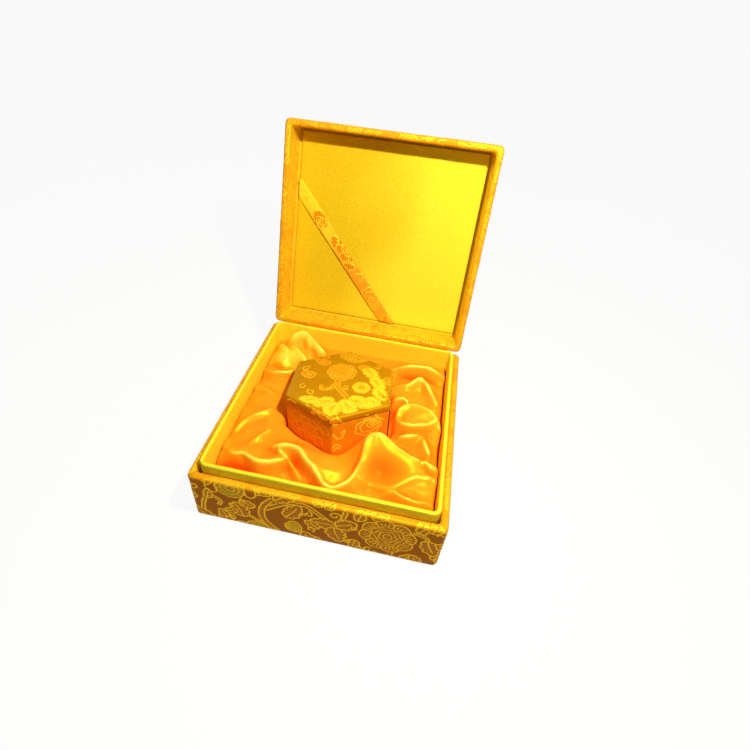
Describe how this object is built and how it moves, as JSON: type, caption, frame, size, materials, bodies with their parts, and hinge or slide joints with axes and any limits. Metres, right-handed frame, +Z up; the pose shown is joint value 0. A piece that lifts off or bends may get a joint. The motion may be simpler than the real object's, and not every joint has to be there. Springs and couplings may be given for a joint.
{
  "type": "brocade keepsake box",
  "caption": "Square gold brocade box with a hinged lid, gathered satin inside and a small hexagonal brocade box standing in it.",
  "frame": {"origin": "middle of the underside of the base, on the surface that the box stands on", "axes": "+X to the right along the front, +Y from the front to the hinge, +Z up. The lid stands open as pictured."},
  "size_m": [0.12, 0.1764, 0.1465],
  "materials": {
    "greyboard": "matte",
    "gold_brocade": "satin",
    "gold_satin": "satin",
    "collar_cloth": "satin",
    "lining_satin": "satin",
    "ribbon": "satin",
    "foam": "matte",
    "backing_paper": "matte"
  },
  "bodies": {
    "base": {"base_floor_board": "greyboard", "base_front_board": "greyboard", "base_back_board": "greyboard", "base_left_board": "greyboard", "base_right_board": "greyboard", "base_brocade": "gold_brocade", "base_paper": "backing_paper", "collar_board": "greyboard", "collar_cloth": "collar_cloth", "cushion_foam": "foam", "satin_drape": "gold_satin", "base_hinge_cloth": "gold_brocade"},
    "lid": {"lid_top_board": "greyboard", "lid_front_board": "greyboard", "lid_back_board": "greyboard", "lid_left_board": "greyboard", "lid_right_board": "greyboard", "lid_brocade": "gold_brocade", "lid_lining_card": "greyboard", "lid_lining_satin": "lining_satin", "lid_ribbon": "ribbon", "lid_hinge_cloth": "gold_brocade"},
    "inner_box": {"inner_floor_board": "greyboard", "inner_brocade": "gold_brocade", "inner_cushion": "gold_satin", "inner_wall_1": "greyboard", "inner_wall_2": "greyboard", "inner_wall_3": "greyboard", "inner_wall_4": "greyboard", "inner_wall_5": "greyboard", "inner_wall_6": "greyboard"},
    "inner_lid": {"inner_lid_board": "greyboard", "inner_lid_pad": "foam", "inner_lid_brocade": "gold_brocade", "inner_lid_plug": "gold_satin"}
  },
  "joints": [
    {"name": "lid_hinge", "type": "hinge", "parent": "base", "child": "lid", "pos_m": [0, 0.0604, 0.03155], "axis": [-1, 0, 0], "range_deg": [-106.8, 0]},
    {"name": "inner_box_lift", "type": "slide", "parent": "base", "child": "inner_box", "axis": [-0.0523, 0.1407, 0.9887], "range_m": [0, 0.06]},
    {"name": "inner_lid_lift", "type": "slide", "parent": "inner_box", "child": "inner_lid", "axis": [-0.0523, 0.1407, 0.9887], "range_m": [0, 0.04]}
  ]
}
